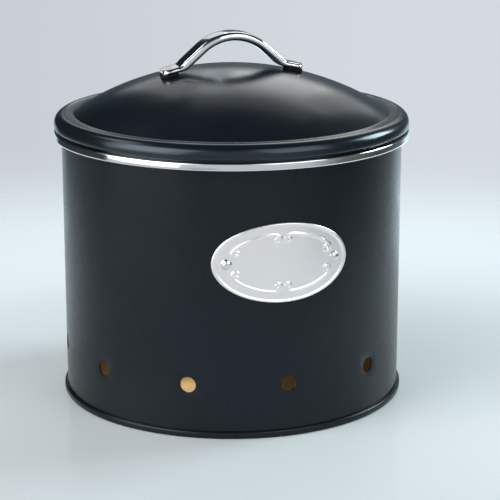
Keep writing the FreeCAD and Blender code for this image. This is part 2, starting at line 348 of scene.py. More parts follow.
@dataclass(frozen=True)
class BrightMetal:
    """Polished or pressed metal with faint polishing marks."""

    name: str
    colour: Colour
    shade: Colour
    roughness: float
    swing: float
    marks: Colour
    mark_scale: float
    depth: float

    def build(self) -> bpy.types.Material:
        """Make the material."""
        shader = Shader(self.name)
        shader.link(shader.blend(shader.span(shader.noise(70, 3), 0, 1), self.colour, self.shade),
                    shader.surface.inputs["Base Color"])
        smear = shader.span(shader.noise(45, 4), self.roughness - self.swing, self.roughness + self.swing)
        shader.link(smear, shader.surface.inputs["Roughness"])
        shader.surface.inputs["Metallic"].default_value = 1.0
        shader.bump(shader.noise(self.mark_scale, 3, self.marks), self.depth)
        return shader.material


SATIN_BLACK = Lacquer("satin_black_lacquer", (0.0064, 0.0084, 0.0104), (0.0052, 0.0070, 0.0090),
                      0.27, 0.02, 900, 0.010 * MM, 1.37, (0.76, 0.88, 1.0))
GLOSS_BLACK = Lacquer("gloss_black_lacquer", (0.0056, 0.0090, 0.0130), (0.0046, 0.0078, 0.0114),
                      0.20, 0.02, 420, 0.012 * MM, 1.54, (0.74, 0.90, 1.0))
GOLD_LACQUER = Lacquer("gold_inside_lacquer", (0.58, 0.39, 0.165), (0.50, 0.33, 0.13),
                       0.35, 0.04, 500, 0.01 * MM)
PAD_BLACK = Lacquer("black_pad_rubber", (0.006, 0.006, 0.007), (0.009, 0.009, 0.010),
                    0.75, 0.05, 1500, 0.03 * MM, 1.3)
POLISHED_STEEL = BrightMetal("polished_steel", (0.80, 0.80, 0.81), (0.76, 0.765, 0.78),
                             0.09, 0.02, (1, 1, 1), 600, 0.004 * MM)
PRESSED_PLATE = BrightMetal("pressed_plate_metal", (0.955, 0.93, 0.925), (0.925, 0.90, 0.895),
                            0.31, 0.03, (6, 1, 1), 700, 0.004 * MM)
RIVET_STEEL = BrightMetal("rivet_steel", (0.82, 0.82, 0.82), (0.76, 0.76, 0.77),
                          0.24, 0.04, (1, 1, 1), 900, 0.006 * MM)


def dress(piece: bpy.types.Object, finishes: list[bpy.types.Material], body: Body,
          nodes: list[str]) -> None:
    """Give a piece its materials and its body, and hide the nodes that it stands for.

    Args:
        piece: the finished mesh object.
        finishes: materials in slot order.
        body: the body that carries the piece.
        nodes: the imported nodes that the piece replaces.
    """
    Bench.slots(piece, len(finishes))
    for index, finish in enumerate(finishes):
        piece.data.materials[index] = finish
    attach(piece, body.value)
    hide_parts(*nodes)
    LOG.info("%s: %d faces", piece.name, len(piece.data.polygons))


@dataclass
class BodyWall:
    """Rolled wall with its ring of vents and the lap seam at the back."""

    radius: float = 100.0 * MM
    sheet: float = 0.8 * MM
    foot: float = 1.0 * MM
    top: float = 156.9 * MM
    vents: int = 11
    vent_radius: float = 4.5 * MM
    vent_height: float = 30.7 * MM
    vent_turn: float = math.radians(2.2)
    columns_per_vent: int = 32
    patch: int = 5
    lap_width: float = 6.0 * MM
    lap_lift: float = 0.4 * MM
    lap_foot: float = 4.5 * MM
    lap_top: float = 153.0 * MM
    upper_rows: int = 8
    edge_round: float = 0.12 * MM
    edge_angle: float = math.radians(40)

    def cell(self) -> float:
        """Width of one column of faces."""
        return TURN * self.radius / (self.vents * self.columns_per_vent)

    def rows(self) -> list[float]:
        """Heights of the wall's edge loops, square to the columns round the vents."""
        cell = self.cell()
        band = [self.vent_height + cell * i for i in range(-self.patch, self.patch + 1)]
        low = [self.foot, self.lap_foot, (self.lap_foot + band[0]) / 2]
        steps = self.upper_rows
        high = [band[-1] + (self.lap_top - band[-1]) * i / steps for i in range(1, steps + 1)]
        return low + band + high + [self.top]

    def build(self) -> bpy.types.Object:
        """Model the wall from a ring: rows, vents, lap seam, thickness and eased edges."""
        rows = self.rows()
        Bench.clear()
        bpy.ops.mesh.primitive_circle_add(
            vertices=self.vents * self.columns_per_vent, radius=self.radius,
            location=(0, 0, rows[0]), rotation=(0, 0, self.vent_turn))
        bpy.ops.object.transform_apply(location=True, rotation=True, scale=True)
        Bench.edit()
        bpy.ops.mesh.select_all(action="SELECT")
        for low, high in zip(rows, rows[1:]):
            bpy.ops.mesh.extrude_edges_move(TRANSFORM_OT_translate={"value": (0, 0, high - low)})
        Bench.tidy()
        self.punch()
        self.lap()
        bpy.ops.object.mode_set(mode="OBJECT")
        # The inside takes the second slot, which has to be there before the wall gets its thickness.
        Bench.slots(bpy.context.object, 2)
        Bench.modifier("SOLIDIFY", thickness=self.sheet, offset=-1.0, material_offset=1)
        Bench.modifier("BEVEL", width=self.edge_round, segments=2, limit_method="ANGLE",
                       angle_limit=self.edge_angle)
        return Bench.close("body_wall")

    def punch(self) -> None:
        """Open the vents: a square patch of faces goes, and its edge is rounded to the vent's size."""
        cell = self.cell()
        reach = (self.patch - 1) * cell
        for place in range(self.vents):
            angle = self.vent_turn + TURN * place / self.vents
            middle = Vector((math.sin(angle), -math.cos(angle), 0)) * self.radius
            middle.z = self.vent_height
            Bench.select("FACE", self.near(middle, reach))
            bpy.ops.mesh.delete(type="FACE")
            Bench.select("VERT", self.near(middle, reach + cell / 4))
            bpy.ops.transform.tosphere(value=1.0)
            self.size_ring(middle)

    @staticmethod
    def near(middle: Vector, reach: float) -> Callable[[Vector], bool]:
        """A test for places in the square patch round a vent's middle."""

        def within(centre: Vector) -> bool:
            """Whether a place is in the patch."""
            across = math.hypot(centre.x - middle.x, centre.y - middle.y)
            return across < reach and abs(centre.z - middle.z) < reach

        return within

    def size_ring(self, middle: Vector) -> None:
        """Bring the selected ring of a vent to its radius and back on to the wall's surface."""
        mesh = bmesh.from_edit_mesh(bpy.context.object.data)
        ring = [vert for vert in mesh.verts if vert.select]
        across = Vector((-middle.y, middle.x, 0)).normalized()
        for vert in ring:
            offset = vert.co - middle
            aside, up = offset.dot(across), offset.z
            scale = self.vent_radius / math.hypot(aside, up)
            angle = aside * scale / self.radius
            outward = Vector((middle.x, middle.y, 0)).normalized()
            vert.co = (outward * math.cos(angle) + across * math.sin(angle)) * self.radius
            vert.co.z = middle.z + up * scale
        bmesh.update_edit_mesh(bpy.context.object.data)

    def lap(self) -> None:
        """Raise the lap seam at the back by one thin step."""

        def seam(centre: Vector) -> bool:
            """Whether a place is on the seam."""
            return (centre.y > 0 and abs(centre.x) < self.lap_width / 2
                    and self.lap_foot < centre.z < self.lap_top)

        Bench.select("FACE", seam)
        bpy.ops.mesh.extrude_region_shrink_fatten(
            TRANSFORM_OT_shrink_fatten={"value": self.lap_lift})


@dataclass
class BasePan:
    """Floor panel with the rolled bead that the canister stands on."""

    sheet: float = 0.8 * MM
    wall_outer: float = 99.15 * MM
    bead_radius: float = 101.8 * MM
    bead_height: float = 4.0 * MM
    bead_round: float = 1.2 * MM
    panel_lift: float = 4.0 * MM
    lip_inner: float = 100.1 * MM
    bend: float = 0.9 * MM
    step_radius: float = 86.0 * MM
    step_drop: float = 0.8 * MM
    upward: float = 0.2
    steps: int = 256

    def build(self) -> bpy.types.Object:
        """Turn the panel, its wall and the rolled bead in one profile."""
        inner = self.wall_outer - self.sheet
        top = self.panel_lift + self.sheet
        side = self.bead_radius - self.sheet
        low = (self.bead_radius - self.bead_round, self.bead_round)
        high = (self.bead_radius - self.bead_round, self.bead_height - self.bead_round)
        corner = (inner - self.bend, self.panel_lift - self.bend)
        step = self.step_radius
        drop = self.step_drop
        profile = [(0, self.panel_lift - drop), (step - 2 * drop, self.panel_lift - drop)]
        profile += [(step, self.panel_lift)]
        profile += arc(corner, self.bend, 90, 0, 5)
        profile += arc((inner + self.bend / 3, self.bend / 3), self.bend / 3, 180, 270, 4)
        profile += arc(low, self.bead_round, -90, 0, 7)
        profile += arc(high, self.bead_round, 0, 90, 7)
        profile += [(self.lip_inner, self.bead_height), (self.lip_inner, self.bead_height - self.sheet)]
        profile += [(side, self.bead_height - self.sheet), (side, self.sheet), (self.wall_outer, self.sheet)]
        profile += arc((self.wall_outer - self.bend, top - self.bend), self.bend, 0, 90, 5)
        profile += [(step, top), (step - 2 * drop, top - drop), (0, top - drop)]
        pan = Bench.turn("base_pan_rolled", profile, self.steps)
        Bench.slots(pan, 2)
        for face in pan.data.polygons:
            inside = math.hypot(face.center.x, face.center.y) < self.wall_outer
            face.material_index = int(inside and face.normal.z > self.upward)
        return pan


@dataclass
class RimHoop:
    """Bright hoop pressed over the mouth."""

    radius: float = 104.6 * MM
    sheet: float = 0.8 * MM
    top: float = 157.9 * MM
    height: float = 4.2 * MM
    rounding: float = 0.9 * MM
    mouth: float = 98.35 * MM
    leg: float = 6.5 * MM
    lip: float = 3.4 * MM
    easing: float = 0.35 * MM
    lean: float = 0.35 * MM
    steps: int = 320

    def build(self) -> bpy.types.Object:
        """Turn the hoop: leg, rolled top, face that leans in a little with eased edges, and lip."""
        bottom = self.top - self.height
        face = self.radius - self.sheet
        outer = self.mouth + self.sheet
        high = (self.radius - self.rounding - self.lean, self.top - self.rounding)
        low = (self.radius - self.rounding, bottom + self.rounding)
        mouth_edge = (self.mouth + self.easing * 2, self.top - self.easing * 2)
        profile = [(self.mouth, self.top - self.leg), (outer, self.top - self.leg)]
        profile += [(outer, self.top - self.sheet), (face, self.top - self.sheet)]
        profile += [(face, bottom + self.sheet), (self.radius - self.lip, bottom + self.sheet)]
        profile += [(self.radius - self.lip, bottom)]
        profile += arc(low, self.rounding, -90, 0, 12)
        profile += arc(high, self.rounding, 0, 90, 12)
        profile += arc(mouth_edge, self.easing * 2, 90, 180, 5)
        profile += [(self.mouth, self.top - self.leg)]
        return Bench.turn("mouth_hoop", profile, self.steps)


@dataclass
class LidDome:
    """Domed lid with its ledge, rounded rim and hem."""

    radius: float = 104.3 * MM
    sheet: float = 0.8 * MM
    lip_bottom: float = 158.1 * MM
    hem_bottom: float = 159.5 * MM
    hem_round: float = 1.2 * MM
    hem_width: float = 4.3 * MM
    rim_height: float = 8.2 * MM
    bead: float = 0.45 * MM
    shoulder: float = 5.8 * MM
    ledge_width: float = 6.5 * MM
    dome_rise: float = 26.1 * MM
    foot_round: float = 2.0 * MM
    steps: int = 320
    dome_steps: int = 34

    def dome_radius(self) -> float:
        """Radius of the dome's sphere."""
        foot = self.radius - self.shoulder - self.ledge_width
        return (foot ** 2 + self.dome_rise ** 2) / (2 * self.dome_rise)

    def ledge(self) -> float:
        """Height of the ledge's upper face."""
        return self.hem_bottom + self.rim_height

    def apex(self) -> float:
        """Height of the dome's top."""
        return self.ledge() + self.dome_rise

    def bead_rise(self, ledge: float) -> list[Point]:
        """The soft step from the ledge up to the rolled rim.

        Args:
            ledge: height of the sunk ledge.

        Returns:
            Points from the ledge to just before the rim's top.
        """
        steps = 6
        start = self.radius - self.shoulder - 2 * self.bead
        rise = []
        for i in range(steps):
            share = i / steps
            lift = self.bead * (1 - math.cos(math.pi * share)) / 2
            rise.append((start + 2 * self.bead * share, ledge + lift))
        return rise

    def build(self) -> bpy.types.Object:
        """Turn the lid's outside and inside in one profile."""
        sphere = self.dome_radius()
        ledge = self.ledge() - self.bead
        centre = (0.0, self.apex() - sphere)
        rise = ledge + self.foot_round - centre[1]
        reach = math.sqrt((sphere + self.foot_round) ** 2 - rise ** 2)
        slope = math.degrees(math.atan2(rise, reach))
        foot = (reach, ledge + self.foot_round)
        rim = (self.radius - self.shoulder, self.ledge() - self.shoulder)
        hem = (self.radius - self.hem_round, self.hem_bottom + self.hem_round)
        wall = self.radius - self.sheet
        inner = self.radius - self.hem_width
        profile = arc(centre, sphere, 90, slope, self.dome_steps)
        profile += arc(foot, self.foot_round, slope + 180, 270, 6)
        profile += self.bead_rise(ledge)
        profile += arc(rim, self.shoulder, 90, 0, 16)
        profile += arc(hem, self.hem_round, 0, -90, 9)
        profile += [(inner + self.sheet, self.hem_bottom), (inner + self.sheet, self.lip_bottom)]
        profile += [(inner, self.lip_bottom), (inner, self.hem_bottom + self.sheet)]
        profile += [(wall, self.hem_bottom + self.sheet)]
        profile += arc((rim[0], rim[1] - self.bead), self.shoulder - self.sheet, 0, 90, 12)
        profile += arc(foot, self.foot_round + self.sheet, 270, slope + 180, 5)
        profile += arc(centre, sphere - self.sheet, slope, 90, self.dome_steps)
        return Bench.turn("lid_dome", profile, self.steps)


@dataclass
class LidCollar:
    """Ring under the ledge that drops into the mouth."""

    outer: float = 97.6 * MM
    sheet: float = 0.8 * MM
    bottom: float = 149.9 * MM
    top: float = 166.4 * MM
    flange: float = 4.0 * MM
    lead: float = 0.35 * MM
    steps: int = 256

    def build(self) -> bpy.types.Object:
        """Turn the ring with its flange and an eased lower edge."""
        inner = self.outer - self.sheet
        under = self.top - self.sheet
        edge = (self.outer - self.sheet / 2, self.bottom + self.sheet / 2)
        profile = arc(edge, self.sheet / 2, 180, 360, 8)
        profile += [(self.outer, self.top), (self.outer - self.flange, self.top)]
        profile += [(self.outer - self.flange, under)]
        profile += arc((inner - 2 * self.lead, under - 2 * self.lead), 2 * self.lead, 90, 0, 4)
        profile += [(inner, self.bottom + self.sheet / 2)]
        return Bench.turn("lid_collar_ring", profile, self.steps)


def outward(slope: float) -> Vector:
    """The direction square to a line that falls to the right with a slope."""
    return Vector((math.sin(slope), 0, math.cos(slope)))


def downhill(slope: float) -> Vector:
    """The direction of a line that falls to the right with a slope."""
    return Vector((math.cos(slope), 0, -math.sin(slope)))


@dataclass(frozen=True)
class StrapLine:
    """Right half of the bent strap's centre line: arch, straight side, bend and foot."""

    side_angle: float
    tilt: float
    arch_centre: Vector
    arch_end: Vector
    bend_start: Vector
    bend_centre: Vector
    bend_end: Vector
    foot_end: Vector

    def station(self, place: Vector) -> tuple[Vector, Vector, float]:
        """Find the point of the line beside a place.

        Args:
            place: a point near the line, on its right half.

        Returns:
            The point, the strap's outward direction there, and how far it is flattened from 0 to 1.
        """
        past_bend = (place - self.bend_end).dot(downhill(self.tilt))
        past_side = (place - self.bend_start).dot(downhill(self.side_angle))
        past_arch = (place - self.arch_end).dot(downhill(self.side_angle))
        if past_bend >= 0:
            return self.bend_end + downhill(self.tilt) * past_bend, outward(self.tilt), 1.0
        if past_side > 0:
            up = (self.bend_centre - place).normalized()
            share = (self.side_angle - math.atan2(up.x, up.z)) / (self.side_angle - self.tilt)
            return self.bend_centre - up * (self.bend_centre - self.bend_start).length, up, share
        if past_arch > 0:
            return self.arch_end + downhill(self.side_angle) * past_arch, outward(self.side_angle), 0.0
        up = (place - self.arch_centre).normalized()
        return self.arch_centre + up * (self.arch_end - self.arch_centre).length, up, 0.0


@dataclass
class Handle:
    """Bright strap bent to an arch and flattened at the feet, its pads and its flush rivets."""

    lid: LidDome
    length: float = 85.0 * MM
    width: float = 14.6 * MM
    thickness: float = 5.2 * MM
    foot_thickness: float = 3.2 * MM
    crown: float = 0.04
    clear_height: float = 15.38 * MM
    arch_radius: float = 28.5 * MM
    side_angle: float = math.radians(41)
    bend_radius: float = 9.0 * MM
    corner: float = 4.0 * MM
    rivet_inset: float = 5.0 * MM
    rivet_head: float = 3.0 * MM
    rivet_shank: float = 1.8 * MM
    rivet_proud: float = 0.02 * MM
    rivet_edge: Point = (0.2 * MM, 0.12 * MM)
    tail_height: float = 1.6 * MM
    pad: float = 1.5 * MM
    pad_length: float = 9.6 * MM
    pad_width: float = 13.2 * MM
    pad_corner: float = 3.0 * MM
    pad_edge: float = 0.25 * MM
    seat: float = 0.05 * MM
    edge_round: float = 0.6 * MM
    section_points: int = 32
    tip_steps: int = 9
    foot_steps: int = 4
    bend_steps: int = 14
    side_steps: int = 10
    arch_steps: int = 44

    def tilt(self) -> float:
        """Slope of the feet: the dome's slope at the rivets."""
        return math.asin((self.length / 2 - self.rivet_inset) / self.lid.dome_radius())

    def centre(self) -> float:
        """Height of the dome's centre."""
        return self.lid.apex() - self.lid.dome_radius()

    def foot_line(self) -> float:
        """Distance of the feet's centre line from the dome's centre."""
        return self.lid.dome_radius() + self.seat + self.pad + self.foot_thickness / 2

    def line(self) -> StrapLine:
        """Work out the centre line from the arch, the slope of the sides and the dome below."""
        tilt = self.tilt()
        apex = self.lid.apex() + self.clear_height + self.thickness / 2
        arch_centre = Vector((0, 0, apex - self.arch_radius))
        arch_end = arch_centre + outward(self.side_angle) * self.arch_radius
        along_side, along_foot = downhill(self.side_angle), downhill(tilt)
        to_foot = Vector((0, 0, self.centre())) + outward(tilt) * self.foot_line() - arch_end
        turn = along_side.x * along_foot.z - along_side.z * along_foot.x
        run = (to_foot.x * along_foot.z - to_foot.z * along_foot.x) / turn
        corner = arch_end + along_side * run
        tangent = self.bend_radius * math.tan((self.side_angle - tilt) / 2)
        bend_start = corner - along_side * tangent
        bend_end = corner + along_foot * tangent
        foot_end = bend_end + along_foot * ((self.length / 2 - bend_end.x) / along_foot.x)
        bend_centre = bend_start + outward(self.side_angle) * self.bend_radius
        return StrapLine(self.side_angle, tilt, arch_centre, arch_end, bend_start, bend_centre, bend_end,
                         foot_end)

    def section(self, start: Vector, up: Vector) -> None:
        """Put the strap's section at the left foot's end: a circle pulled apart to a long round.

        Args:
            start: centre of the section.
            up: the strap's outward normal there.
        """
        flat = self.width / 2 - self.thickness / 2
        near = 0.01 * MM
        Bench.clear()
        bpy.ops.mesh.primitive_circle_add(vertices=self.section_points, radius=self.thickness / 2,
                                          fill_type="NGON")
        Bench.edit()
        Bench.select("VERT", lambda place: place.x > near)
        bpy.ops.transform.translate(value=(flat, 0, 0))
        Bench.select("VERT", lambda place: place.x < -near)
        bpy.ops.transform.translate(value=(-flat, 0, 0))
        Bench.select("EDGE", lambda place: abs(place.x) < 0.8 * flat)
        bpy.ops.mesh.subdivide(number_cuts=3)
        bpy.ops.object.mode_set(mode="OBJECT")
        along = Vector((up.z, 0, -up.x))
        bpy.context.object.rotation_mode = "QUATERNION"
        bpy.context.object.rotation_quaternion = along.to_track_quat("Z", "Y")
        bpy.context.object.location = start
        bpy.ops.object.transform_apply(location=True, rotation=True, scale=True)

    def strap(self) -> bpy.types.Object:
        """Extrude and bend the section along foot, bend, side and arch, and back down to the other foot."""
        line = self.line()
        bend = self.side_angle - line.tilt
        foot = (line.foot_end - line.bend_end).length - self.corner
        side = (line.bend_start - line.arch_end).length
        steps = self.tip_steps
        tips = [self.corner * (math.cos(math.pi / 2 * i / steps) - math.cos(math.pi / 2 * (i + 1) / steps))
                for i in range(steps)]
        feet = [foot / self.foot_steps] * self.foot_steps
        sides = [side / self.side_steps] * self.side_steps

        def left(point: Vector) -> Vector:
            """The same point on the left half."""
            return Vector((-point.x, 0, point.z))

        self.section(left(line.foot_end), left(outward(line.tilt)))
        Bench.edit()
        bpy.ops.mesh.select_all(action="SELECT")
        self.push(downhill(-line.tilt), tips + feet)
        self.sweep(left(line.bend_centre), bend, self.bend_steps)
        self.push(downhill(-self.side_angle), sides)
        self.sweep(line.arch_centre, -2 * self.side_angle, self.arch_steps)
        self.push(downhill(self.side_angle), sides)
        self.sweep(line.bend_centre, bend, self.bend_steps)
        self.push(downhill(line.tilt), feet + tips[::-1])
        Bench.tidy()
        bpy.ops.object.mode_set(mode="OBJECT")
        self.forge(line)
        Bench.modifier("BEVEL", width=self.edge_round, segments=3, limit_method="ANGLE",
                       angle_limit=math.radians(60))
        return Bench.close("handle_strap", 40)

    def forge(self, line: StrapLine) -> None:
        """Flatten the feet, crown the arch's faces and round the tips in plan.

        Args:
            line: the strap's centre line.
        """
        thin = self.foot_thickness / self.thickness - 1
        for vertex in bpy.context.object.data.vertices:
            side = math.copysign(1, vertex.co.x)
            place = Vector((abs(vertex.co.x), 0, vertex.co.z))
            point, up, flattened = line.station(place)
            edge = 2 * vertex.co.y / self.width
            lift = (place - point).dot(up) * (1 + thin * flattened)
            lift *= 1 - self.crown * edge ** 2 * (1 - flattened)
            made = point + up * lift
            tip = min(max(place.x - self.length / 2 + self.corner, 0), self.corner)
            half_width = self.width / 2 - self.corner + math.sqrt(self.corner ** 2 - tip ** 2)
            vertex.co = (side * made.x, edge * half_width, made.z)

    @staticmethod
    def push(way: Vector, runs: list[float]) -> None:
        """Extrude the selected section straight on.

        Args:
            way: the direction.
            runs: length of each step.
        """
        for run in runs:
            bpy.ops.mesh.extrude_region_move(TRANSFORM_OT_translate={"value": way * run})

    @staticmethod
    def sweep(centre: Vector, angle: float, steps: int) -> None:
        """Extrude the selected section round a bend; a positive angle turns it upwards."""
        bpy.ops.mesh.spin(steps=steps, angle=angle, center=centre, axis=(0, 1, 0))

    def pads(self) -> bpy.types.Object:
        """Rounded pads under both feet, stood on the dome."""
        sphere = self.lid.dome_radius()
        Bench.clear()
        bpy.ops.mesh.primitive_cube_add(size=1.0)
        Bench.edit()
        bpy.ops.mesh.select_all(action="SELECT")
        bpy.ops.transform.resize(value=(self.pad_length, self.pad_width, self.pad))
        Bench.select("EDGE", lambda place: abs(place.z) < self.pad / 4)
        bpy.ops.mesh.bevel(offset=self.pad_corner, segments=6)
        Bench.select("FACE", lambda place: abs(place.z) > self.pad / 4)
        bpy.ops.mesh.bevel(offset=self.pad_edge, segments=2)
        bpy.ops.object.mode_set(mode="OBJECT")
        return self.both_feet("handle_foot_pads", sphere + self.seat + self.pad / 2)

    def rivets(self) -> bpy.types.Object:
        """Flush heads in the feet and round tails under the dome."""
        top = self.foot_thickness / 2
        bottom = -self.foot_thickness / 2 - self.pad - self.lid.sheet
        cap = self.rivet_head
        round_cap = (cap ** 2 + self.tail_height ** 2) / (2 * self.tail_height)
        opening = math.degrees(math.asin(cap / round_cap))
        shank = self.rivet_shank
        face = top + self.rivet_proud
        inset, drop = self.rivet_edge
        profile = [(0, face), (cap - inset, face), (cap, top - drop)]
        profile += [(shank, top - (cap - shank)), (shank, bottom)]
        profile += arc((0, bottom - self.tail_height + round_cap), round_cap, opening - 90, -90, 10)
        Bench.turn("handle_flush_rivets", profile, 48)
        return self.both_feet("handle_flush_rivets", self.foot_line())

    def both_feet(self, name: str, distance: float) -> bpy.types.Object:
        """Stand the active piece on the dome at both feet.

        Args:
            name: the pair's name.
            distance: from the dome's centre, along its normal.

        Returns:
            The joined pair.
        """

        def stand(side: int) -> tuple[Place, Place]:
            """Place and turn at one foot."""
            tilt = side * self.tilt()
            place = (distance * math.sin(tilt), 0, self.centre() + distance * math.cos(tilt))
            return place, (0, tilt, 0)

        return Bench.pair(name, stand)


@dataclass
class NamePlate:
    """Curved oval plate with a rolled edge, a pressed border line with scrolls, and two rivets."""

    body_radius: float = 100.05 * MM
    height: float = 101.0 * MM
    half_length: float = 40.0 * MM
    half_height: float = 22.5 * MM
    sheet: float = 0.8 * MM
    edge_width: float = 1.5 * MM
    edge_lift: float = 0.6 * MM
    line_length: float = 31.6 * MM
    line_height: float = 16.5 * MM
    line_width: float = 0.9 * MM
    line_lift: float = 0.55 * MM
    rivet_reach: float = 31.3 * MM
    rivet_head: float = 3.15 * MM
    rivet_lift: float = 1.7 * MM
    rivet_shank: float = 1.5 * MM
    rivet_seat: float = -0.15 * MM
    tail: float = 2.5 * MM
    tail_lift: float = 1.1 * MM
    tail_end: float = -2.55 * MM
    segments: int = 480
    rings: int = 84
    scroll_top: Point = (2.95 * MM, 13.3 * MM)
    scroll_top_radius: float = 1.95 * MM
    scroll_top_start: float = math.radians(130)
    scroll_side_radius: float = 2.35 * MM
    scroll_wind: float = math.radians(480)
    scroll_close: float = 0.72
    line_span: Point = (79, 28)

    def border(self) -> np.ndarray:
        """The pressed line in one quarter of the plate: a stretch of oval with a scroll at each end.

        Returns:
            Points along the line, as length and height from the plate's middle.
        """
        turns = np.radians(np.linspace(*self.line_span, 100))
        oval = np.stack([self.line_length * np.cos(turns), self.line_height * np.sin(turns)], 1)
        middle = np.array(self.scroll_top)
        start = self.scroll_top_start
        top = self.scroll(middle, self.scroll_top_radius, start, 1)
        heading = np.array([math.sin(start), -math.cos(start)])
        knee = top[0] + heading * (oval[0][1] - top[0][1]) / heading[1]
        share = np.linspace(0, 1, 24)[:, None]
        dip = oval[0] * (1 - share) ** 2 + 2 * knee * share * (1 - share) + top[0] * share ** 2
        end = turns[-1]
        out = np.array([self.line_height * math.cos(end), self.line_length * math.sin(end)])
        out = out / np.hypot(*out)
        eye = oval[-1] - out * self.scroll_side_radius
        side = self.scroll(eye, self.scroll_side_radius, math.atan2(out[1], out[0]), -1)
        return np.concatenate([top[::-1], dip[::-1], oval, side])

    def scroll(self, eye: np.ndarray, radius: float, first: float, way: int) -> np.ndarray:
        """A spiral that winds in towards its eye.

        Args:
            eye: the spiral's centre.
            radius: its outer radius.
            first: the angle where it starts.
            way: 1 winds anticlockwise, -1 clockwise.

        Returns:
            Points from the outside to the end near the eye.
        """
        wind = np.linspace(0, 1, 70)
        reach = radius * (1 - self.scroll_close * wind)
        angle = first + way * wind * self.scroll_wind
        return np.stack([eye[0] + reach * np.cos(angle), eye[1] + reach * np.sin(angle)], 1)

    def relief(self, along: np.ndarray, up: np.ndarray) -> np.ndarray:
        """Height of the pressed surface over the flat sheet.

        Args:
            along: lengths from the plate's middle.
            up: heights from the plate's middle.

        Returns:
            The lift at each place.
        """
        line = self.border()
        place = np.stack([np.abs(along), np.abs(up)], 1)
        nearest = np.full(len(place), 1.0)
        for here in line:
            nearest = np.minimum(nearest, np.hypot(place[:, 0] - here[0], place[:, 1] - here[1]))
        ridge = np.clip(1 - (nearest / self.line_width) ** 2, 0, 1) ** 1.5
        level = np.hypot(along / self.half_length, up / self.half_height)
        inset = (1 - level) * self.half_height / np.maximum(level, 0.2)
        roll = np.clip(inset / self.edge_width, 0, 1)
        edge = np.sqrt(np.clip(1 - (2 * roll - 1) ** 2, 0, 1))
        return self.line_lift * ridge + self.edge_lift * edge

    def plate(self) -> bpy.types.Object:
        """Model the plate flat from an oval ring, press its relief, then bend it round the body."""
        Bench.clear()
        bpy.ops.mesh.primitive_circle_add(vertices=self.segments, radius=1.0, rotation=(math.pi / 2, 0, 0))
        bpy.ops.object.transform_apply(location=True, rotation=True, scale=True)
        Bench.edit()
        bpy.ops.mesh.select_all(action="SELECT")
        bpy.ops.transform.resize(value=(self.half_length, 1, self.half_height))
        levels = [1 - i / self.rings for i in range(self.rings)]
        for outer, inner in zip(levels, levels[1:]):
            bpy.ops.mesh.extrude_edges_move()
            bpy.ops.transform.resize(value=(inner / outer, 1, inner / outer))
        bpy.ops.mesh.extrude_edges_move()
        bpy.ops.mesh.merge(type="CENTER")
        Bench.tidy()
        self.press()
        bpy.ops.object.mode_set(mode="OBJECT")
        Bench.modifier("SOLIDIFY", thickness=self.sheet, offset=-1.0)
        Bench.modifier("SIMPLE_DEFORM", deform_method="BEND", deform_axis="Z",
                       angle=2 * self.half_length / (self.body_radius + self.sheet))
        bpy.context.object.location = (0, -(self.body_radius + self.sheet), self.height)
        return Bench.close("oval_plate", 50)

    def press(self) -> None:
        """Move the flat sheet's points out by the relief, with every face looking to the front."""
        bpy.ops.object.mode_set(mode="OBJECT")
        mesh = bpy.context.object.data
        places = np.empty(len(mesh.vertices) * 3)
        mesh.vertices.foreach_get("co", places)
        places = places.reshape(-1, 3)
        places[:, 1] = -self.relief(places[:, 0], places[:, 2])
        mesh.vertices.foreach_set("co", places.ravel())
        mesh.update()
        if mesh.polygons[0].normal.y > 0:
            mesh.flip_normals()

    def rivets(self) -> bpy.types.Object:
        """Two domed rivets, modelled once along +Z and stood on the plate."""
        cap = (self.rivet_head ** 2 + self.rivet_lift ** 2) / (2 * self.rivet_lift)
        opening = math.degrees(math.asin(self.rivet_head / cap))
        tail_start = self.tail_end + self.tail_lift
        profile = arc((0, self.rivet_lift - cap), cap, 90, 90 - opening, 14)
        profile += [(self.rivet_head, self.rivet_seat), (self.rivet_shank, self.rivet_seat)]
        profile += [(self.rivet_shank, tail_start), (self.tail, tail_start)]
        profile += [(self.tail * 0.75, self.tail_end + self.tail_lift * 0.35), (0, self.tail_end)]
        Bench.turn("plate_dome_rivets", profile, 48)
        reach = self.body_radius + self.sheet

        def stand(side: int) -> tuple[Place, Place]:
            """Place and turn of one rivet."""
            angle = side * self.rivet_reach / self.body_radius
            place = (reach * math.sin(angle), -reach * math.cos(angle), self.height)
            return place, (math.pi / 2, 0, angle)

        return Bench.pair("plate_dome_rivets", stand)


@dataclass(frozen=True)
class SoftLight:
    """A softbox, placed as seen from the canister: degrees right of the camera and above the table."""

    name: str
    azimuth: float
    elevation: float
    width: float
    height: float
    radiance: float
    colour: Colour = WHITE
    distance: float = 1.5


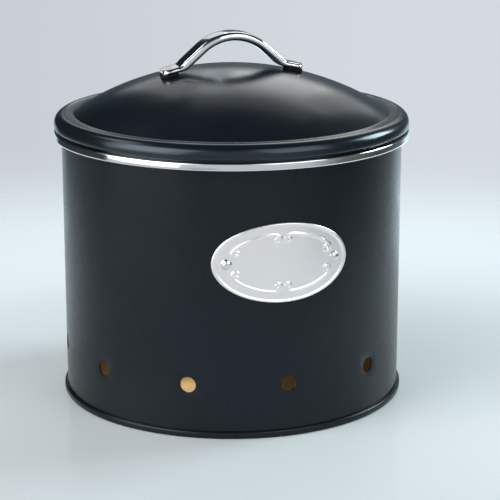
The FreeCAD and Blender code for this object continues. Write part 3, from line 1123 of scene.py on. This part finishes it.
@dataclass
class Studio:
    """Pale floor, softboxes, dim surroundings and the camera."""

    floor_radius: float = 2.2
    # Painted light and shade on the floor: a darker colour near the left front and a paler one towards the
    # far right, blended along a turned direction.
    floor_painted_shade_colour: Colour = (0.610, 0.655, 0.671)
    floor_painted_light_colour: Colour = (0.776, 0.834, 0.853)
    floor_shade_turn: float = math.radians(30)
    floor_shade: Point = (-0.18, 0.10)
    floor_fade: Point = (0.225, 0.69)
    floor_sheen: Point = (0.10, 0.25)
    floor_gloss: float = 0.22
    floor_roughness: float = 0.16
    floor_ior: float = 1.26
    backdrop_left: Colour = (0.585, 0.62, 0.66)
    backdrop_right: Colour = (0.66, 0.70, 0.745)
    backdrop_low: Colour = (0.70, 0.78, 0.81)
    backdrop_join: Point = (-0.26, -0.20)
    wall_join: Point = (-0.16, 0.12)
    low_join: Point = (-0.24, -0.215)
    high_join: Point = (-0.15, -0.06)
    ceiling_join: Point = (0.5, 0.85)
    ceiling: Colour = (0.03, 0.033, 0.038)
    ring_tint: Colour = (0.96, 1.0, 1.02)
    cool_from: float = 110
    cool_rate: float = 0.0035
    ambient: float = 0.28
    ambient_tint: Colour = (0.95, 1.0, 1.05)
    camera_turn: float = math.radians(-16.17)
    camera_distance: float = 1053.8 * MM
    camera_height: float = 366.5 * MM
    aim_aside: float = 10.80 * MM
    aim_height: float = 82.2 * MM
    lens: float = 130.8
    lamp_aim: Place = (0, 0, 0.1)
    glow_place: Place = (-32 * MM, -15 * MM, 24 * MM)
    glow_power: float = 0.024
    glow_size: float = 6 * MM
    lamps: list[SoftLight] = field(default_factory=lambda: [
        SoftLight("back_softbox", 169, 33, 0.78, 0.78, 0.90, WARM),
        SoftLight("back_top", 172, 50, 0.75, 0.40, 0.40, WARM),
        SoftLight("back_core", 171, 32, 0.42, 0.50, 1.35, WARM),
        SoftLight("back_tail", -170, 30, 0.32, 0.78, 0.70),
        SoftLight("right_window", 113, 28, 0.60, 0.52, 13.0, COOL),
        SoftLight("left_softbox", -57, 24, 1.55, 1.60, 2.2),
        SoftLight("left_core", -57, 27, 0.90, 1.00, 2.0),
        SoftLight("left_back_softbox", -107, 51, 0.62, 0.42, 2.0),
        SoftLight("right_front_softbox", 43, 36, 0.98, 1.15, 1.9),
    ])
    floor_ring: list[Point] = field(default_factory=lambda: [
        (-180, 1.2), (-140, 1.1), (-115, 0.8), (-88, 0.9), (-58, 0.9), (-35, 0.72), (30, 0.74), (55, 0.45),
        (85, 0.38), (110, 0.7), (135, 1.5), (150, 2.6), (180, 2.0),
    ])
    low_ring: list[Point] = field(default_factory=lambda: [
        (-180, 0.8), (-155, 0.75), (-147, 0.05), (-87, 0.04), (-84, 0.6), (-30, 0.6), (-24, 0.35),
        (-12, 0.35), (-6, 0.62), (50, 0.55), (70, 0.14), (105, 0.05), (138, 0.15), (150, 1.0), (180, 0.8),
    ])
    high_ring: list[Point] = field(default_factory=lambda: [
        (-180, 0.17), (-166, 0.08), (-158, 0.015), (-80, 0.05), (-30, 0.66), (45, 0.66), (75, 0.15),
        (105, 0.12), (140, 0.13), (180, 0.17),
    ])

    def floor(self) -> None:
        """A round floor with painted light: paler towards the far right and darker towards the near left as
        if in shade, and it fades into the surroundings.
        """
        Bench.clear()
        bpy.ops.mesh.primitive_circle_add(vertices=96, radius=self.floor_radius, fill_type="NGON")
        Bench.edit()
        bpy.ops.mesh.select_all(action="SELECT")
        bpy.ops.mesh.inset(thickness=self.floor_radius / 2)
        piece = Bench.close("floor")
        shader = Shader("pale_floor")
        surface = shader.surface
        surface.inputs["Roughness"].default_value = self.floor_roughness
        surface.inputs["IOR"].default_value = self.floor_ior
        # Painted light and shade: the floor's colour is blended from the painted shade colour at the left
        # front to the painted light colour towards the far right.
        away = self.floor_shade_turn - self.camera_turn
        along = shader.node("ShaderNodeVectorMath", operation="DOT_PRODUCT")
        along.inputs[1].default_value = (math.sin(away), math.cos(away), 0)
        shader.link(shader.place, along.inputs[0])
        shade = shader.ease(along.outputs["Value"], self.floor_shade)
        shader.link(shader.blend(shade, self.floor_painted_shade_colour, self.floor_painted_light_colour), surface.inputs["Base Color"])
        reach = shader.node("ShaderNodeVectorMath", operation="LENGTH")
        shader.link(shader.place, reach.inputs[0])
        sheen = shader.ease(reach.outputs["Value"], self.floor_sheen, (self.floor_gloss, 0))
        shader.link(sheen, surface.inputs["Specular IOR Level"])
        fade = shader.ease(reach.outputs["Value"], self.floor_fade, kind="SMOOTHERSTEP")
        clear = shader.node("ShaderNodeBsdfTransparent")
        mix = shader.node("ShaderNodeMixShader")
        shader.link(fade, mix.inputs["Fac"])
        shader.link(surface.outputs["BSDF"], mix.inputs[1])
        shader.link(clear.outputs["BSDF"], mix.inputs[2])
        output = shader.tree.nodes["Material Output"]
        shader.link(mix.outputs["Shader"], output.inputs["Surface"])
        piece.data.materials.append(shader.material)

    def ring(self, sky: Nodes, azimuth: bpy.types.NodeSocket, stops: list[Point]) -> bpy.types.NodeSocket:
        """A ring of brightness round the canister.

        Args:
            sky: the world's nodes.
            azimuth: place on the ring from 0 to 1, with the camera's side in the middle.
            stops: degrees right of the camera, and the brightness there.

        Returns:
            The colour socket.
        """
        ramp = sky.node("ShaderNodeValToRGB")
        elements = ramp.color_ramp.elements
        while len(elements) > 1:
            elements.remove(elements[-1])
        red, green, blue = self.ring_tint
        for index, (degrees, level) in enumerate(stops):
            spot = (degrees + 180) / 360
            stop = elements[0] if index == 0 else elements.new(spot)
            stop.position = spot
            cool = max(0.0, abs(degrees) - self.cool_from) * self.cool_rate
            stop.color = (level * (red - cool), level * green, level * (blue + cool / 2), 1)
        sky.link(azimuth, ramp.inputs["Fac"])
        return ramp.outputs["Color"]

    def surroundings(self) -> None:
        """Pale for the camera; for reflections a studio with dark sides and a dark ceiling; dim otherwise."""
        world = bpy.data.worlds.new("studio")
        bpy.context.scene.world = world
        world.use_nodes = True
        sky = Nodes(world.node_tree)
        turn = sky.node("ShaderNodeMapping")
        turn.inputs["Rotation"].default_value = (0, 0, -self.camera_turn)
        sky.link(sky.node("ShaderNodeTexCoord").outputs["Generated"], turn.inputs["Vector"])
        split = sky.node("ShaderNodeSeparateXYZ")
        sky.link(turn.outputs["Vector"], split.inputs["Vector"])
        across, back, up = (split.outputs[axis] for axis in "XYZ")
        ahead = sky.node("ShaderNodeMath", operation="MULTIPLY")
        ahead.inputs[1].default_value = -1.0
        sky.link(back, ahead.inputs[0])
        angle = sky.node("ShaderNodeMath", operation="ARCTAN2")
        sky.link(across, angle.inputs[0])
        sky.link(ahead.outputs["Value"], angle.inputs[1])
        share = sky.ease(angle.outputs["Value"], (-math.pi, math.pi), kind="LINEAR")
        rings = [self.ring(sky, share, stops) for stops in (self.floor_ring, self.low_ring, self.high_ring)]
        lower = sky.blend(sky.ease(up, self.low_join), rings[0], rings[1])
        upper = sky.blend(sky.ease(up, self.high_join), lower, rings[2])
        studio = sky.blend(sky.ease(up, self.ceiling_join), upper, self.ceiling)
        path = sky.node("ShaderNodeLightPath")
        dim = tuple(self.ambient * tint for tint in self.ambient_tint)
        shown = sky.blend(path.outputs["Is Glossy Ray"], dim, studio)
        wall = sky.blend(sky.ease(across, self.wall_join), self.backdrop_left, self.backdrop_right)
        backdrop = sky.blend(sky.ease(up, self.backdrop_join), self.backdrop_low, wall)
        seen = sky.blend(path.outputs["Is Camera Ray"], shown, backdrop)
        through = sky.blend(path.outputs["Is Transmission Ray"], seen, backdrop)
        sky.link(through, sky.tree.nodes["Background"].inputs["Color"])

    @staticmethod
    def hang(data: bpy.types.Light, place: Place) -> bpy.types.Object:
        """Put a lamp at a place, unseen by the camera."""
        lamp = bpy.data.objects.new(data.name, data)
        lamp.location = place
        lamp.visible_camera = False
        bpy.context.scene.collection.objects.link(lamp)
        return lamp

    def lights(self) -> None:
        """Softboxes that look at the canister's middle, and the dim light inside that shows in the vents."""
        for box in self.lamps:
            data = bpy.data.lights.new(box.name, "AREA")
            data.shape = "RECTANGLE"
            data.size = box.width
            data.size_y = box.height
            data.energy = box.radiance * math.pi * box.width * box.height
            data.color = box.colour
            turn = math.radians(box.azimuth) + self.camera_turn
            rise = math.radians(box.elevation)
            away = Vector((math.sin(turn) * math.cos(rise), -math.cos(turn) * math.cos(rise), math.sin(rise)))
            lamp = self.hang(data, Vector(self.lamp_aim) + away * box.distance)
            lamp.rotation_euler = (-away).to_track_quat("-Z", "Y").to_euler()
        glow = bpy.data.lights.new("inside_glow", "POINT")
        glow.energy = self.glow_power
        glow.shadow_soft_size = self.glow_size
        self.hang(glow, self.glow_place)

    def camera(self) -> None:
        """A long lens at the photograph's height and angle."""
        data = bpy.data.cameras.new("camera")
        data.sensor_width = 36.0
        data.lens = self.lens
        data.clip_end = 20.0
        camera = bpy.data.objects.new("camera", data)
        side, ahead = math.sin(self.camera_turn), math.cos(self.camera_turn)
        camera.location = (side * self.camera_distance, -ahead * self.camera_distance, self.camera_height)
        aim = Vector((ahead * self.aim_aside, side * self.aim_aside, self.aim_height))
        camera.rotation_euler = (aim - camera.location).to_track_quat("-Z", "Y").to_euler()
        bpy.context.scene.collection.objects.link(camera)
        bpy.context.scene.camera = camera

    def build(self) -> None:
        """Set up the whole studio."""
        bpy.context.scene.view_settings.view_transform = "Standard"
        self.floor()
        self.surroundings()
        self.lights()
        self.camera()


def main() -> None:
    """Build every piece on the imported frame."""
    logging.basicConfig(level=logging.INFO, format="%(name)s: %(message)s")
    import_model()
    satin = SATIN_BLACK.build()
    gloss = GLOSS_BLACK.build()
    gold = GOLD_LACQUER.build()
    steel = POLISHED_STEEL.build()
    plate_metal = PRESSED_PLATE.build()
    rivet_metal = RIVET_STEEL.build()
    pad = PAD_BLACK.build()

    dress(BodyWall().build(), [satin, gold], Body.CANISTER, ["body_shell"])
    dress(BasePan().build(), [satin, gold], Body.CANISTER, ["base_pan"])
    dress(RimHoop().build(), [steel], Body.CANISTER, ["rim_hoop"])
    plate = NamePlate()
    dress(plate.plate(), [plate_metal], Body.CANISTER, ["name_plate"])
    dress(plate.rivets(), [rivet_metal], Body.CANISTER, ["plate_rivets"])

    lid = LidDome()
    dress(lid.build(), [gloss], Body.LID, ["lid_shell"])
    dress(LidCollar().build(), [gloss], Body.LID, ["lid_collar"])
    handle = Handle(lid)
    dress(handle.strap(), [steel], Body.LID, ["lid_handle"])
    dress(handle.pads(), [pad], Body.LID, ["handle_pads"])
    dress(handle.rivets(), [rivet_metal], Body.LID, ["handle_rivets"])

    Studio().build()


if __name__ == "__main__":
    main()
